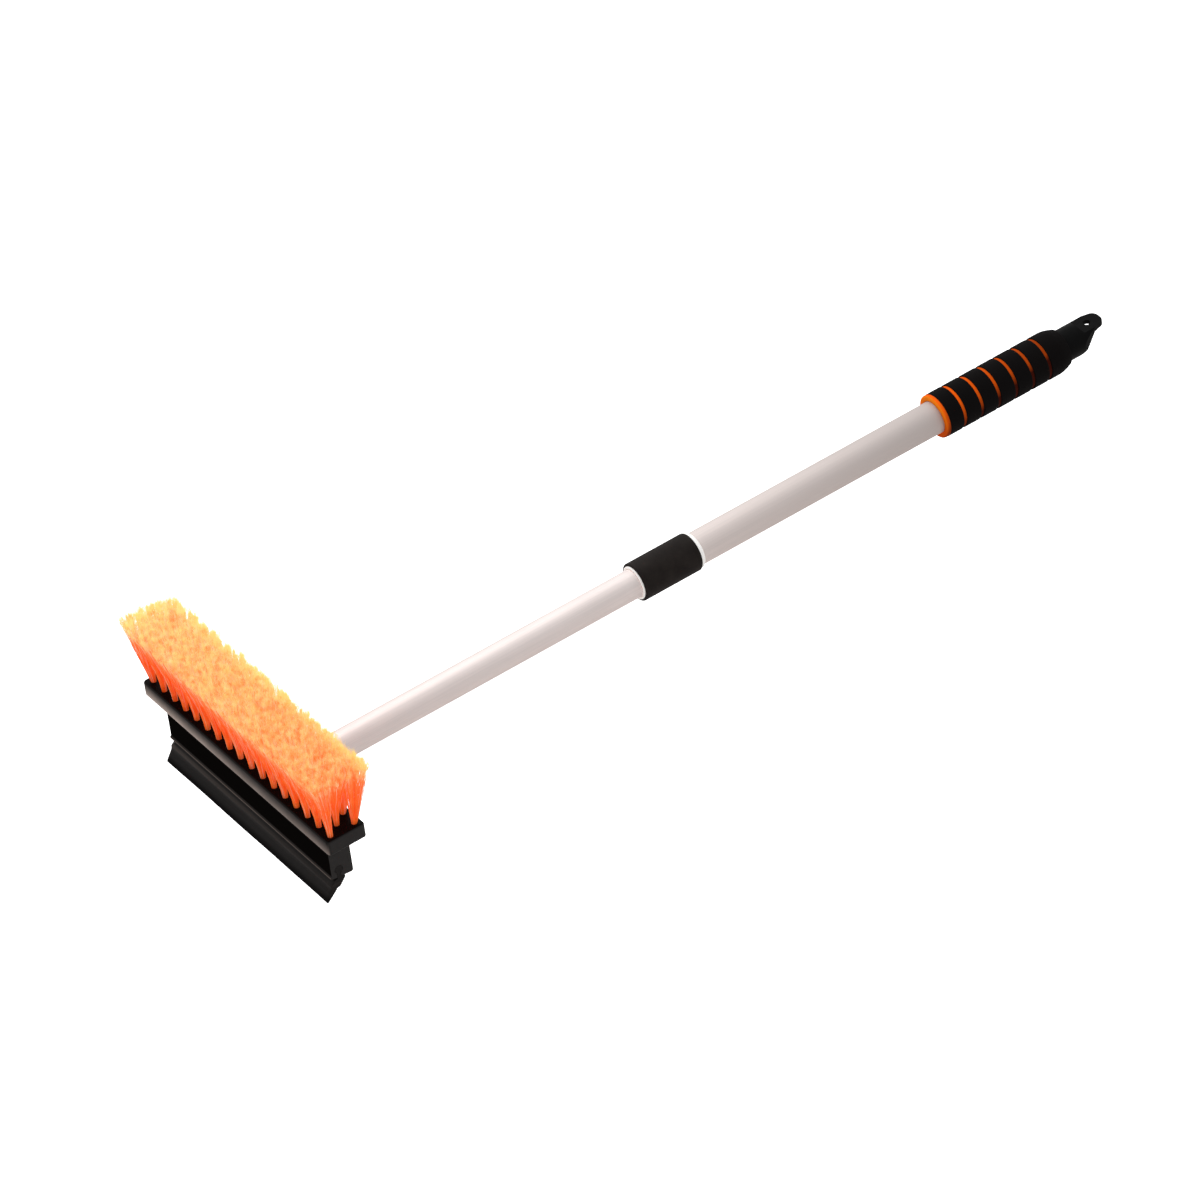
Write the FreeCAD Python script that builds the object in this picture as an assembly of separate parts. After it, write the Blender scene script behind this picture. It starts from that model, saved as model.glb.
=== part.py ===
"""Snow brush with a squeegee blade on a two-piece telescopic aluminium pole.

Lengths are millimetres. Across the head is X, along the pole from the head to the
grip is Y, and the bristles point to +Z. Stations along the pole are counted from the
middle of the brush flange; the finished pieces are shifted at the end so that the
origin is the centre of the hang hole.
"""
import FreeCAD, Part
import os
from math import cos, hypot, pi

V = FreeCAD.Vector
ALONG = V(0, 1, 0)

# ---------------------------------------------------------------- driving dimensions
SLIP = 0.05                       # radial clearance of a sliding or turning fit
FIT = 0.02                        # clearance of parts that are pressed or glued together
EXTRA = 1.0                       # overlap that lets shapes join and cut cleanly

FLANGE_LENGTH = 230.0
FLANGE_DEPTH = 31.6
FLANGE_BOTTOM = 24.5
FLANGE_THICKNESS = 12.2
FLANGE_CORNER = 2.5
FLANGE_TOP_ROUND = 1.5
FLANGE_BOTTOM_ROUND = 0.8

WEB_LENGTH = 200.0
WEB_FRONT = -8.8
WEB_BACK = 8.9
WEB_FOOT_FRONT = -11.4
WEB_FOOT_BACK = -13.2
WEB_BEAD = 0.9                    # how far the light-catching bead stands forward
WEB_BEAD_HEIGHT = 2.0
WEB_EDGE = 0.7                    # bevel under the bead
WEB_BACK_EDGE = 1.2

CHANNEL_Y = -2.5                  # keyhole channel that holds the blade's bulb
CHANNEL_Z = -5.5
BULB_RADIUS = 3.3
STEM_WIDTH = 3.8
CHANNEL_GAP = 0.1
BLADE_PIN_RADIUS = 1.0
BLADE_PIN_X = 94.0
BLADE_PIN_START = -7.0
BLADE_PIN_SINK = 0.2              # of each end in its hole
# The blade's ledge, waist and forward-swept lip as (y, z) points, front round to back.
BLADE_SECTION = ((-4.4, -13.2), (-7.3, -13.6), (-7.8, -15.4), (-9.9, -17.0),
                 (-10.3, -18.4), (-10.3, -20.2), (-13.0, -24.4), (-15.0, -27.6),
                 (-15.7, -29.2), (-15.1, -29.8), (-6.6, -22.3), (-5.9, -21.2),
                 (-2.8, -20.4), (1.6, -15.0), (2.2, -13.2), (-0.6, -12.9))

TUFT_PITCH = 13.69
TUFTS_IN_OUTER_ROW = 17
ROW_SPACING = 10.0
ROWS_CENTRE = 0.3
TUFT_RADIUS = 2.3
TUFT_TIP_RADIUS = 6.5
TUFT_HOLE_RADIUS = 2.35
TUFT_HOLE_DEPTH = 8.5
TUFT_LIFT = 0.2                   # of the tuft's foot above the floor of its hole
BRISTLE_TOP = 91.6
SPLAY_X = 1.017                   # how much further out the tufts stand at their tips
SPLAY_Y = 1.55
ANCHOR_WIDTH = 5.4                # wider than the hole, so that it bites into the wall
ANCHOR_HEIGHT = 2.0
ANCHOR_THICKNESS = 0.5
ANCHOR_LIFT = 0.4

SOCKET_LENGTH = 52.0              # station of the socket's open end
SOCKET_FLOOR = 3.2
SOCKET_ROOT_RADIUS = 15.0
SOCKET_ROOT_DEPTH = 4.0           # how far the socket runs into the web
SOCKET_MOUTH_RADIUS = 13.8
SOCKET_LIP_RADIUS = 14.6
SOCKET_LIP_LENGTH = 4.0
SOCKET_LIP_BEVEL = 0.8
SOCKET_LIP_RAMP = 1.0
RIB_THICKNESS = 4.0
RIB_ROOT_GAP = 1.5                # between the ribs' inner edge and the pole
RIB_STEP = 2.0                    # short straight lands at the ends of the ribs
SIDE_RIB_REACH = 48.0
SIDE_RIB_END = 38.0
POCKET_FLOOR = -5.2               # the web is cored from the back to an even wall
POCKET_COUNT = 3                  # on each side of the socket
POCKET_WALL = 2.5
POCKET_BOTTOM = 3.0
POCKET_SOCKET_GAP = 3.0
POCKET_END_WALL = 4.0

SCREW_STATIONS = (24.0, 42.0)
SCREW_RADIUS = 1.7
SCREW_HEAD_RADIUS = 3.2
SCREW_HEAD_HEIGHT = 2.1
SCREW_SEAT_GAP = 0.4              # round the head in its counterbore
SCREW_SEAT_DEPTH = 4.0
SCREW_HOLE_DEPTH = 9.0
CROSS_ARM = 0.62                  # cross recess, as shares of the screw's head
CROSS_WIDTH = 0.14
CROSS_FLOOR = 0.45
SCREW_SEAT = -13.0
SCREW_TIP = -4.2
SCREW_POINT_RADIUS = 0.3

INNER_POLE_RADIUS = 11.0
OUTER_POLE_RADIUS = 12.5
POLE_WALL = 0.8
NOSE_PLUG_END = 48.0
NOSE_PLUG_SETBACK = 0.5
INNER_POLE_START = 3.5
INNER_POLE_END = 400.0
OUTER_POLE_START = 330.4
OUTER_POLE_END = 706.0

COLLAR_START = 324.5
COLLAR_END = 374.3
COLLAR_RADIUS = 14.8
COLLAR_FRONT_ROUND = 0.9
COLLAR_REAR_ROUND = 1.2
BUSH_LINER_RADIUS = 13.4
BUSH_NOSE_RADIUS = 12.85          # white ring inside the collar's mouth
BUSH_NOSE_LENGTH = 1.0            # how far it stands out in front of the collar
BUSH_FLANGE_RADIUS = 13.95        # white ring behind the collar
BUSH_FLANGE_LENGTH = 3.2
BUSH_BEVEL = 0.4
BUSH_REAR_BEVEL = 1.2
BUSH_SHOULDER_GAP = 0.1           # in front of the outer pole's end
BUSH_SHOULDER_WALL = 0.6
COLLAR_STEP_GAP = 0.05            # between the collar's inner step and the bush
STOP_SLEEVE_END = 399.4

CAM_FLANGE_LENGTH = 3.0
CAM_FLANGE_LEDGE = 0.3            # how far the stop stands out beyond the inner pole
CAM_JOURNAL_LENGTH = 18.0
CAM_JOURNAL_RADIUS = 5.2
CAM_OFFSET = 1.2
CAM_PLUG_DEPTH = 28.0
CAM_RING_SLIT = 2.0
CAM_RING_GROOVES = 4
CAM_RING_GROOVE_DEPTH = 0.5
CAM_RING_GROOVE_WIDTH = 1.2
CAM_RING_END_GAP = 0.15
CAM_RING_SLIT_DEPTH = 2.0         # how far the slit's tool reaches into the bore
CAM_SCREW_RADIUS = 1.5
CAM_SCREW_HEAD_RADIUS = 3.0
CAM_SCREW_HEAD_HEIGHT = 2.0
CAM_SCREW_LENGTH = 11.5
CAM_PILOT_SPARE = 0.5             # depth of the pilot hole beyond the screw's point
CAM_WASHER_RADIUS = 9.0
CAM_WASHER_THICKNESS = 1.2
CAM_WASHER_GAP = 0.1

GRIP_START = 592.3
GRIP_END = 707.6
GRIP_RADIUS = 17.1
GRIP_CORE_RADIUS = 16.1
GRIP_FACE_RADIUS = 16.9           # core showing at the front before the first band
GRIP_FACE_LENGTH = 3.0
GRIP_FACE_ROUND = 1.0
GRIP_REAR_LENGTH = 11.0           # the rear of the grip rounds down over this length
GRIP_REAR_RADIUS = 14.6
GRIP_CORE_REAR_RADIUS = 13.6
GROOVE_WIDTH = 2.6
FIRST_GROOVE = 15.3
GROOVE_PITCH = 15.6
GROOVE_COUNT = 6

CAP_RADIUS = 12.5
CAP_PLUG_START = 684.0
CAP_HOLLOW_RADIUS = 8.4
CAP_FLOOR_SETBACK = 4.0           # from the pole's end to the hollow's floor
CAP_CUT_START = 716.0             # the cap is cut away below from here, at 45 degrees
CAP_NECK_END = 722.0              # the tab narrows from here
TAB_HALF_WIDTH = 7.4
TAB_CORNER_START = 738.8
TAB_CORNER_RADIUS = 6.0
TAB_TOP = 9.2
TAB_THICKNESS = 3.6
TAB_RAMP = 3.0                    # from the neck's top down to the tab's
TAB_RIB = 2.0                     # side ribs under the tab
HANG_HOLE_RADIUS = 2.8
HANG_HOLE_STATION = 733.4
RIVET_RADIUS = 1.5
RIVET_SINK = 0.1                  # below the surface of the pole
RIVET_END_GAP = 0.2
CAM_RIVET_STATION = 386.0
CAM_RIVET_DEPTH = 4.8
CAP_RIVET_STATION = 695.0
CAP_RIVET_DEPTH = 4.2             # just through the wall of the cap's hollow plug

# ---------------------------------------------------------------- derived dimensions
FLANGE_TOP = FLANGE_BOTTOM + FLANGE_THICKNESS
HOLE_FLOOR = FLANGE_TOP - TUFT_HOLE_DEPTH
INNER_POLE_BORE = INNER_POLE_RADIUS - POLE_WALL
OUTER_POLE_BORE = OUTER_POLE_RADIUS - POLE_WALL
CAM_FLANGE_END = INNER_POLE_END + CAM_FLANGE_LENGTH
CAM_END = CAM_FLANGE_END + CAM_JOURNAL_LENGTH
CAM_WASHER_START = CAM_END + SLIP
CAM_WASHER_END = CAM_WASHER_START + CAM_WASHER_THICKNESS
GRIP_SHOULDER = GRIP_END - GRIP_REAR_LENGTH
TAB_UNDERSIDE = TAB_TOP - TAB_THICKNESS
TAB_END = TAB_CORNER_START + TAB_CORNER_RADIUS
HANG_HOLE_Z = TAB_TOP - TAB_THICKNESS / 2


# ---------------------------------------------------------------- shape helpers
def rod(radius, start, end, x=0.0, z=0.0):
    """A round bar along the pole from one station to another."""
    return Part.makeCylinder(radius, end - start, V(x, start, z), ALONG)


def tube(inner, outer, start, end):
    return rod(outer, start, end).cut(rod(inner, start - EXTRA, end + EXTRA))


def turned(profile):
    """Spin a closed outline of (radius, station) points round the pole's axis."""
    points = [V(radius, station, 0) for radius, station in profile]
    face = Part.Face(Part.makePolygon(points + points[:1]))
    return face.revolve(V(0, 0, 0), ALONG, 360)


def extruded_across(profile, half_length):
    """Run a closed outline of (y, z) points across the head, centred on X = 0."""
    points = [V(-half_length, y, z) for y, z in profile]
    face = Part.Face(Part.makePolygon(points + points[:1]))
    return face.extrude(V(2 * half_length, 0, 0))


def plate(profile, z_low, z_high):
    """A flat plate from a closed outline of (x, y) points."""
    points = [V(x, y, z_low) for x, y in profile]
    face = Part.Face(Part.makePolygon(points + points[:1]))
    return face.extrude(V(0, 0, z_high - z_low))


def box(x0, x1, y0, y1, z0, z1):
    return Part.makeBox(x1 - x0, y1 - y0, z1 - z0, V(x0, y0, z0))


def edges_where(shape, test):
    """The edges whose every vertex passes the test."""
    return [edge for edge in shape.Edges if all(test(v.Point) for v in edge.Vertexes)]


def joined(first, others):
    return first.fuse(others).removeSplitter()


# ---------------------------------------------------------------- brush and blade head
def tuft_rows():
    """Centres of the tufts at the flange's top face, row by row, front to rear."""
    rows = []
    for index in (-1, 0, 1):
        count = TUFTS_IN_OUTER_ROW if index else TUFTS_IN_OUTER_ROW - 1
        first = -TUFT_PITCH * (count - 1) / 2
        y = ROWS_CENTRE + index * ROW_SPACING
        rows.append([(first + TUFT_PITCH * i, y) for i in range(count)])
    return rows


def anchor_at(x, y, gap=0.0):
    """The folded metal strip that pins a tuft's fibres to the floor of its hole."""
    low = HOLE_FLOOR + ANCHOR_LIFT
    return box(x - ANCHOR_WIDTH / 2 - gap, x + ANCHOR_WIDTH / 2 + gap,
               y - ANCHOR_THICKNESS / 2 - gap, y + ANCHOR_THICKNESS / 2 + gap,
               low - gap, low + ANCHOR_HEIGHT + gap)


def tuft_at(x, y):
    """One tuft: a round foot in its hole that spreads out towards its tips."""
    foot_bottom = HOLE_FLOOR + TUFT_LIFT
    foot = Part.makeCylinder(TUFT_RADIUS, FLANGE_TOP - foot_bottom, V(x, y, foot_bottom))
    tip = V(x * SPLAY_X, ROWS_CENTRE + (y - ROWS_CENTRE) * SPLAY_Y, BRISTLE_TOP)
    low_ring = Part.Wire(Part.makeCircle(TUFT_RADIUS, V(x, y, FLANGE_TOP)))
    high_ring = Part.Wire(Part.makeCircle(TUFT_TIP_RADIUS, tip))
    spray = Part.makeLoft([low_ring, high_ring], True, True)
    return foot.fuse(spray).cut(anchor_at(x, y, SLIP))


def flange():
    shape = box(-FLANGE_LENGTH / 2, FLANGE_LENGTH / 2, -FLANGE_DEPTH / 2, FLANGE_DEPTH / 2,
                FLANGE_BOTTOM, FLANGE_TOP)
    upright = [edge for edge in shape.Edges
               if abs(edge.Vertexes[0].Z - edge.Vertexes[1].Z) > FLANGE_THICKNESS / 2]
    shape = shape.makeFillet(FLANGE_CORNER, upright)
    top = edges_where(shape, lambda p: p.z > FLANGE_TOP - 0.01)
    shape = shape.makeFillet(FLANGE_TOP_ROUND, top)
    bottom = edges_where(shape, lambda p: p.z < FLANGE_BOTTOM + 0.01)
    return shape.makeFillet(FLANGE_BOTTOM_ROUND, bottom)


def web():
    """The upright wall under the flange, with a bead along its front foot."""
    bead_front = WEB_FRONT - WEB_BEAD
    bead_top = WEB_FOOT_FRONT + WEB_BEAD_HEIGHT
    outline = [(WEB_FRONT, FLANGE_BOTTOM + EXTRA), (WEB_FRONT, bead_top + WEB_BEAD),
               (bead_front, bead_top), (bead_front, WEB_FOOT_FRONT + WEB_EDGE),
               (bead_front + WEB_EDGE, WEB_FOOT_FRONT), (WEB_BACK - WEB_BACK_EDGE, WEB_FOOT_BACK),
               (WEB_BACK, WEB_FOOT_BACK + WEB_BACK_EDGE), (WEB_BACK, FLANGE_BOTTOM + EXTRA)]
    return extruded_across(outline, WEB_LENGTH / 2)


def socket_and_ribs():
    """The tube socket behind the web, one rib up to the flange and one to each side."""
    lip = SOCKET_LENGTH - SOCKET_LIP_LENGTH
    root = WEB_BACK - SOCKET_ROOT_DEPTH
    socket = turned([(0, root), (SOCKET_ROOT_RADIUS, root),
                     (SOCKET_MOUTH_RADIUS, lip - SOCKET_LIP_RAMP), (SOCKET_LIP_RADIUS, lip),
                     (SOCKET_LIP_RADIUS, SOCKET_LENGTH - SOCKET_LIP_BEVEL),
                     (SOCKET_LIP_RADIUS - SOCKET_LIP_BEVEL, SOCKET_LENGTH), (0, SOCKET_LENGTH)])
    clear_of_bore = INNER_POLE_RADIUS + RIB_ROOT_GAP
    front = WEB_BACK - EXTRA
    top = FLANGE_BOTTOM + EXTRA
    upper = extruded_across([(front, clear_of_bore), (front, top),
                             (FLANGE_DEPTH / 2 - FLANGE_TOP_ROUND, top),
                             (lip - RIB_STEP, SOCKET_MOUTH_RADIUS), (lip - RIB_STEP, clear_of_bore)],
                            RIB_THICKNESS / 2)
    sides = []
    for side in (-1, 1):
        outline = [(side * clear_of_bore, front), (side * SIDE_RIB_REACH, front),
                   (side * (SIDE_RIB_REACH - RIB_STEP), WEB_BACK + RIB_STEP),
                   (side * (SOCKET_MOUTH_RADIUS + EXTRA), SIDE_RIB_END),
                   (side * clear_of_bore, SIDE_RIB_END)]
        sides.append(plate(outline, -RIB_THICKNESS / 2, RIB_THICKNESS / 2))
    return [socket, upper] + sides


def channel():
    """The keyhole channel along the web's foot."""
    end = WEB_LENGTH / 2 + EXTRA
    bulb = Part.makeCylinder(BULB_RADIUS + CHANNEL_GAP, 2 * end,
                             V(-end, CHANNEL_Y, CHANNEL_Z), V(1, 0, 0))
    half = STEM_WIDTH / 2 + CHANNEL_GAP
    slot = box(-end, end, CHANNEL_Y - half, CHANNEL_Y + half, WEB_FOOT_BACK - EXTRA, CHANNEL_Z)
    return [bulb, slot]


def pockets():
    """Hollows in the web's back, either side of the socket."""
    inner = SOCKET_ROOT_RADIUS + POCKET_SOCKET_GAP
    outer = WEB_LENGTH / 2 - POCKET_END_WALL
    width = (outer - inner + POCKET_WALL) / POCKET_COUNT - POCKET_WALL
    hollows = []
    for side in (-1, 1):
        for i in range(POCKET_COUNT):
            near = inner + i * (width + POCKET_WALL)
            x0, x1 = sorted((side * near, side * (near + width)))
            hollows.append(box(x0, x1, POCKET_FLOOR, WEB_BACK + EXTRA,
                               POCKET_BOTTOM, FLANGE_BOTTOM - POCKET_WALL))
    return hollows


def blade_pin_holes():
    start = BLADE_PIN_START - BLADE_PIN_SINK
    return [rod(BLADE_PIN_RADIUS + FIT, start, WEB_BACK + EXTRA, x, CHANNEL_Z)
            for x in (-BLADE_PIN_X, BLADE_PIN_X)]


def screw_hole(station):
    """Hole from below, through the socket and the pole and into the nose plug."""
    return Part.makeCylinder(SCREW_RADIUS + SLIP, SCREW_HOLE_DEPTH + SCREW_SEAT_DEPTH,
                             V(0, station, SCREW_SEAT - SCREW_SEAT_DEPTH))


def head_body():
    body = joined(flange(), [web()] + socket_and_ribs())
    cuts = channel() + pockets() + blade_pin_holes()
    cuts.append(rod(INNER_POLE_RADIUS + SLIP, SOCKET_FLOOR, SOCKET_LENGTH + EXTRA))
    for station in SCREW_STATIONS:
        seat = Part.makeCylinder(SCREW_HEAD_RADIUS + SCREW_SEAT_GAP, SCREW_SEAT_DEPTH,
                                 V(0, station, SCREW_SEAT - SCREW_SEAT_DEPTH))
        cuts += [seat, screw_hole(station)]
    for row in tuft_rows():
        for x, y in row:
            cuts.append(Part.makeCylinder(TUFT_HOLE_RADIUS, TUFT_HOLE_DEPTH + EXTRA,
                                          V(x, y, HOLE_FLOOR)))
            cuts.append(anchor_at(x, y))
    return body.cut(cuts)


def squeegee_blade():
    """Rubber strip: bulb and stem in the channel, ledge, waist and forward-swept lip."""
    half = STEM_WIDTH / 2
    stem_front = [(CHANNEL_Y - half, CHANNEL_Z)]
    stem_back = [(CHANNEL_Y + half, CHANNEL_Z)]
    strip = extruded_across(stem_front + list(BLADE_SECTION) + stem_back, WEB_LENGTH / 2)
    bulb = Part.makeCylinder(BULB_RADIUS, WEB_LENGTH,
                             V(-WEB_LENGTH / 2, CHANNEL_Y, CHANNEL_Z), V(1, 0, 0))
    return joined(strip, [bulb]).cut(blade_pin_holes())


def blade_pins():
    """Two brads driven in from behind that stop the blade sliding out of its channel."""
    end = WEB_BACK - BLADE_PIN_SINK
    return Part.Compound([rod(BLADE_PIN_RADIUS, BLADE_PIN_START, end, x, CHANNEL_Z)
                          for x in (-BLADE_PIN_X, BLADE_PIN_X)])


def pan_head_screw(radius, head_radius, head_height, length):
    """Axis +Z, with the head's underside at Z = 0 and the shank below it."""
    dome_radius = (head_radius ** 2 + head_height ** 2) / (2 * head_height)
    dome = Part.makeSphere(dome_radius, V(0, 0, head_height - dome_radius))
    head = dome.common(Part.makeCylinder(head_radius, head_height + EXTRA, V(0, 0, 0)))
    shank = Part.makeCylinder(radius, length - radius, V(0, 0, radius - length))
    point = Part.makeCone(SCREW_POINT_RADIUS, radius, radius, V(0, 0, -length))
    arm = head_radius * CROSS_ARM
    width = head_radius * CROSS_WIDTH
    depth = head_height * CROSS_FLOOR
    top = head_height + EXTRA
    cross = [box(-arm, arm, -width, width, depth, top), box(-width, width, -arm, arm, depth, top)]
    return joined(head, [shank, point]).cut(cross)


def socket_screws():
    """Self-tapping screws through the socket and the pole into the nose plug."""
    screws = []
    for station in SCREW_STATIONS:
        screw = pan_head_screw(SCREW_RADIUS, SCREW_HEAD_RADIUS, SCREW_HEAD_HEIGHT,
                               SCREW_TIP - SCREW_SEAT)
        screw.rotate(V(0, 0, 0), V(1, 0, 0), 180)
        screw.translate(V(0, station, SCREW_SEAT))
        screws.append(screw)
    return Part.Compound(screws)


def tufts(row):
    return Part.Compound([tuft_at(x, y) for x, y in row])


def tuft_anchors():
    return Part.Compound([anchor_at(x, y) for row in tuft_rows() for x, y in row])


# ---------------------------------------------------------------- inner pole and its lock
def rivet_holes(station, pole_radius, depth):
    """A pair of holes from the pole's surface inwards, one on each side."""
    holes = []
    for side in (-1, 1):
        start = V(side * (pole_radius + EXTRA), station, 0)
        length = depth + RIVET_END_GAP + EXTRA
        holes.append(Part.makeCylinder(RIVET_RADIUS + FIT, length, start, V(-side, 0, 0)))
    return holes


def rivets(station, pole_radius, depth):
    """A pair of short solid rivets, just under flush with the tube they hold."""
    pair = []
    for side in (-1, 1):
        start = V(side * (pole_radius - RIVET_SINK), station, 0)
        pair.append(Part.makeCylinder(RIVET_RADIUS, depth - RIVET_SINK, start, V(-side, 0, 0)))
    return Part.Compound(pair)


def inner_pole():
    pole = tube(INNER_POLE_BORE, INNER_POLE_RADIUS, INNER_POLE_START, INNER_POLE_END)
    cuts = [screw_hole(station) for station in SCREW_STATIONS]
    return pole.cut(cuts + rivet_holes(CAM_RIVET_STATION, INNER_POLE_RADIUS, CAM_RIVET_DEPTH))


def pole_nose_plug():
    """Plastic insert that stiffens the pole's end and gives the screws a grip."""
    plug = rod(INNER_POLE_BORE - SLIP, INNER_POLE_START + NOSE_PLUG_SETBACK,
               NOSE_PLUG_END)
    return plug.cut([screw_hole(station) for station in SCREW_STATIONS])


def cam_plug():
    """Plug in the pole's upper end, with a stop flange and an eccentric journal."""
    shank = rod(INNER_POLE_BORE - SLIP, INNER_POLE_END - CAM_PLUG_DEPTH, INNER_POLE_END + EXTRA)
    stop = rod(INNER_POLE_RADIUS + CAM_FLANGE_LEDGE, INNER_POLE_END + SLIP, CAM_FLANGE_END)
    journal = rod(CAM_JOURNAL_RADIUS, CAM_FLANGE_END - EXTRA, CAM_END, x=CAM_OFFSET)
    body = joined(shank, [stop, journal])
    pilot_start = CAM_END - CAM_SCREW_LENGTH - CAM_PILOT_SPARE
    pilot = rod(CAM_SCREW_RADIUS + FIT, pilot_start, CAM_END + EXTRA)
    holes = rivet_holes(CAM_RIVET_STATION, INNER_POLE_RADIUS, CAM_RIVET_DEPTH)
    return body.cut([pilot] + holes)


def cam_ring():
    """Split nylon ring round the journal; the eccentric spreads it against the tube."""
    bore = CAM_JOURNAL_RADIUS + CAM_OFFSET + SLIP
    outer = OUTER_POLE_BORE - SLIP
    start = CAM_FLANGE_END + CAM_RING_END_GAP
    end = CAM_END - CAM_RING_END_GAP
    ring = tube(bore, outer, start, end)
    grooves = []
    for i in range(CAM_RING_GROOVES):
        middle = start + (i + 1) * (end - start) / (CAM_RING_GROOVES + 1)
        half = CAM_RING_GROOVE_WIDTH / 2
        grooves.append(tube(outer - CAM_RING_GROOVE_DEPTH, outer + EXTRA,
                            middle - half, middle + half))
    slit = box(-outer - EXTRA, CAM_RING_SLIT_DEPTH - bore, start - EXTRA, end + EXTRA,
               -CAM_RING_SLIT / 2, CAM_RING_SLIT / 2)
    return ring.cut(grooves + [slit])


def cam_washer():
    """Steel washer that keeps the cam ring on the journal."""
    return tube(CAM_SCREW_RADIUS + CAM_WASHER_GAP, CAM_WASHER_RADIUS,
                CAM_WASHER_START, CAM_WASHER_END)


def cam_screw():
    screw = pan_head_screw(CAM_SCREW_RADIUS, CAM_SCREW_HEAD_RADIUS, CAM_SCREW_HEAD_HEIGHT,
                           CAM_SCREW_LENGTH)
    screw.rotate(V(0, 0, 0), V(1, 0, 0), -90)
    screw.translate(V(0, CAM_WASHER_END + SLIP, 0))
    return screw


# ---------------------------------------------------------------- outer pole and collar
def outer_pole():
    pole = tube(OUTER_POLE_BORE, OUTER_POLE_RADIUS, OUTER_POLE_START, OUTER_POLE_END)
    return pole.cut(rivet_holes(CAP_RIVET_STATION, OUTER_POLE_RADIUS, CAP_RIVET_DEPTH))


def guide_bush():
    """White nylon bush: a nose round the inner pole, a liner on the outer and a rear flange."""
    bore = INNER_POLE_RADIUS + SLIP
    nose = COLLAR_START - BUSH_NOSE_LENGTH
    shoulder = OUTER_POLE_START - BUSH_SHOULDER_GAP
    liner_start = shoulder - BUSH_SHOULDER_WALL
    flange_start = COLLAR_END + SLIP
    rear = COLLAR_END + BUSH_FLANGE_LENGTH
    fit = OUTER_POLE_RADIUS + FIT
    return turned([(bore, nose + BUSH_BEVEL), (bore + BUSH_BEVEL, nose),
                   (BUSH_NOSE_RADIUS - BUSH_BEVEL, nose),
                   (BUSH_NOSE_RADIUS, nose + BUSH_BEVEL), (BUSH_NOSE_RADIUS, liner_start),
                   (BUSH_LINER_RADIUS, liner_start), (BUSH_LINER_RADIUS, flange_start),
                   (BUSH_FLANGE_RADIUS, flange_start),
                   (BUSH_FLANGE_RADIUS, rear - BUSH_REAR_BEVEL),
                   (fit + BUSH_BEVEL, rear), (fit, rear), (fit, shoulder), (bore, shoulder)])


def stop_sleeve():
    """Thin nylon spacer that keeps the poles overlapped when pulled fully out."""
    return tube(INNER_POLE_RADIUS + SLIP, OUTER_POLE_BORE - SLIP, OUTER_POLE_START,
                STOP_SLEEVE_END)


def collar_sleeve():
    """Soft black sleeve over the bush, with a narrower mouth and a rounded rear end."""
    mouth_end = OUTER_POLE_START - BUSH_SHOULDER_GAP - BUSH_SHOULDER_WALL - COLLAR_STEP_GAP
    mouth = BUSH_NOSE_RADIUS + SLIP
    bore = BUSH_LINER_RADIUS + SLIP
    sleeve = turned([(mouth, COLLAR_START), (COLLAR_RADIUS, COLLAR_START),
                     (COLLAR_RADIUS, COLLAR_END), (bore, COLLAR_END),
                     (bore, mouth_end), (mouth, mouth_end)])
    rim = COLLAR_RADIUS - 0.01
    rear = edges_where(sleeve, lambda p: p.y > COLLAR_END - 0.01 and hypot(p.x, p.z) > rim)
    sleeve = sleeve.makeFillet(COLLAR_REAR_ROUND, rear)
    front = edges_where(sleeve, lambda p: p.y < COLLAR_START + 0.01 and hypot(p.x, p.z) > rim)
    return sleeve.makeFillet(COLLAR_FRONT_ROUND, front)


# ---------------------------------------------------------------- grip and end cap
def band_limits():
    """Start and end stations of each black foam band, front to rear."""
    grooves = [GRIP_START + FIRST_GROOVE + GROOVE_PITCH * i for i in range(GROOVE_COUNT)]
    starts = [GRIP_START + GRIP_FACE_LENGTH] + [groove + GROOVE_WIDTH for groove in grooves]
    return list(zip(starts, grooves + [GRIP_END]))


def rear_round(radius, rear_radius, station):
    """Radius of a quarter-round shoulder at a station between its start and its end."""
    travel = (station - GRIP_SHOULDER) / GRIP_REAR_LENGTH
    return rear_radius + (radius - rear_radius) * cos(travel * pi / 2)


def rear_profile(radius, rear_radius, steps=6):
    stations = [GRIP_SHOULDER + GRIP_REAR_LENGTH * i / steps for i in range(steps + 1)]
    return [(rear_round(radius, rear_radius, station), station) for station in stations]


def grip_core():
    """Orange foam tube: a collar at the front face, then the layer under the bands."""
    bore = OUTER_POLE_RADIUS + FIT
    face_end = GRIP_START + GRIP_FACE_LENGTH
    profile = [(bore, GRIP_START), (GRIP_FACE_RADIUS - GRIP_FACE_ROUND, GRIP_START),
               (GRIP_FACE_RADIUS, GRIP_START + GRIP_FACE_ROUND), (GRIP_FACE_RADIUS, face_end),
               (GRIP_CORE_RADIUS, face_end)]
    profile += rear_profile(GRIP_CORE_RADIUS, GRIP_CORE_REAR_RADIUS)
    return turned(profile + [(bore, GRIP_END)])


def grip_bands():
    """Black foam rings round the core, separated by grooves that show the core."""
    inner = GRIP_CORE_RADIUS
    bands = []
    for start, end in band_limits()[:-1]:
        bands.append(tube(inner, GRIP_RADIUS, start + SLIP, end))
    last_start = band_limits()[-1][0]
    outer_edge = [(GRIP_RADIUS, last_start)] + rear_profile(GRIP_RADIUS, GRIP_REAR_RADIUS)
    inner_edge = rear_profile(inner, GRIP_CORE_REAR_RADIUS)[::-1] + [(inner, last_start)]
    bands.append(turned(outer_edge + inner_edge))
    return Part.Compound(bands)


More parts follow.
